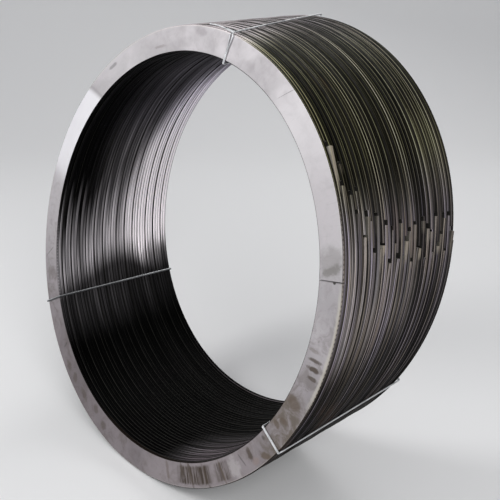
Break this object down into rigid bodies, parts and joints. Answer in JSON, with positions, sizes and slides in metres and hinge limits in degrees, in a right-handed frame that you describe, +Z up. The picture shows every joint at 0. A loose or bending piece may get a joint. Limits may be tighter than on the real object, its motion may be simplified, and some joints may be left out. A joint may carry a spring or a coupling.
{
  "type": "rolled flat bar ring stack",
  "caption": "Pack of open rings rolled edgewise from stainless flat bar, standing on its rims and leaning back, held by doubled wire ties; raw stock for flanges, rims and frames.",
  "frame": {"origin": "on the floor, under the middle of the pack's box", "axes": "+Z up, +Y level along the pack from the front ring to the back ring, +X to the right as seen from the front"},
  "size_m": [1.1917, 0.703, 1.1591],
  "materials": {
    "mill_stainless": "mill finish, stained",
    "galvanised_wire": "bright galvanised"
  },
  "bodies": {
    "root": {"ring_01": "mill_stainless", "ring_02": "mill_stainless", "ring_03": "mill_stainless", "ring_04": "mill_stainless", "ring_05": "mill_stainless", "ring_06": "mill_stainless", "ring_07": "mill_stainless", "ring_08": "mill_stainless", "ring_09": "mill_stainless", "ring_10": "mill_stainless", "ring_11": "mill_stainless", "ring_12": "mill_stainless", "ring_13": "mill_stainless", "ring_14": "mill_stainless", "ring_15": "mill_stainless", "ring_16": "mill_stainless", "ring_17": "mill_stainless", "ring_18": "mill_stainless", "ring_19": "mill_stainless", "ring_20": "mill_stainless", "ring_21": "mill_stainless", "ring_22": "mill_stainless", "ring_23": "mill_stainless", "ring_24": "mill_stainless", "ring_25": "mill_stainless", "ring_26": "mill_stainless", "ring_27": "mill_stainless", "ring_28": "mill_stainless", "ring_29": "mill_stainless", "ring_30": "mill_stainless", "ring_31": "mill_stainless", "ring_32": "mill_stainless", "ring_33": "mill_stainless", "ring_34": "mill_stainless", "ring_35": "mill_stainless", "ring_36": "mill_stainless", "ring_37": "mill_stainless", "ring_38": "mill_stainless", "ring_39": "mill_stainless", "ring_40": "mill_stainless", "tie_top": "galvanised_wire", "tie_left": "galvanised_wire", "tie_right": "galvanised_wire"}
  },
  "joints": []
}
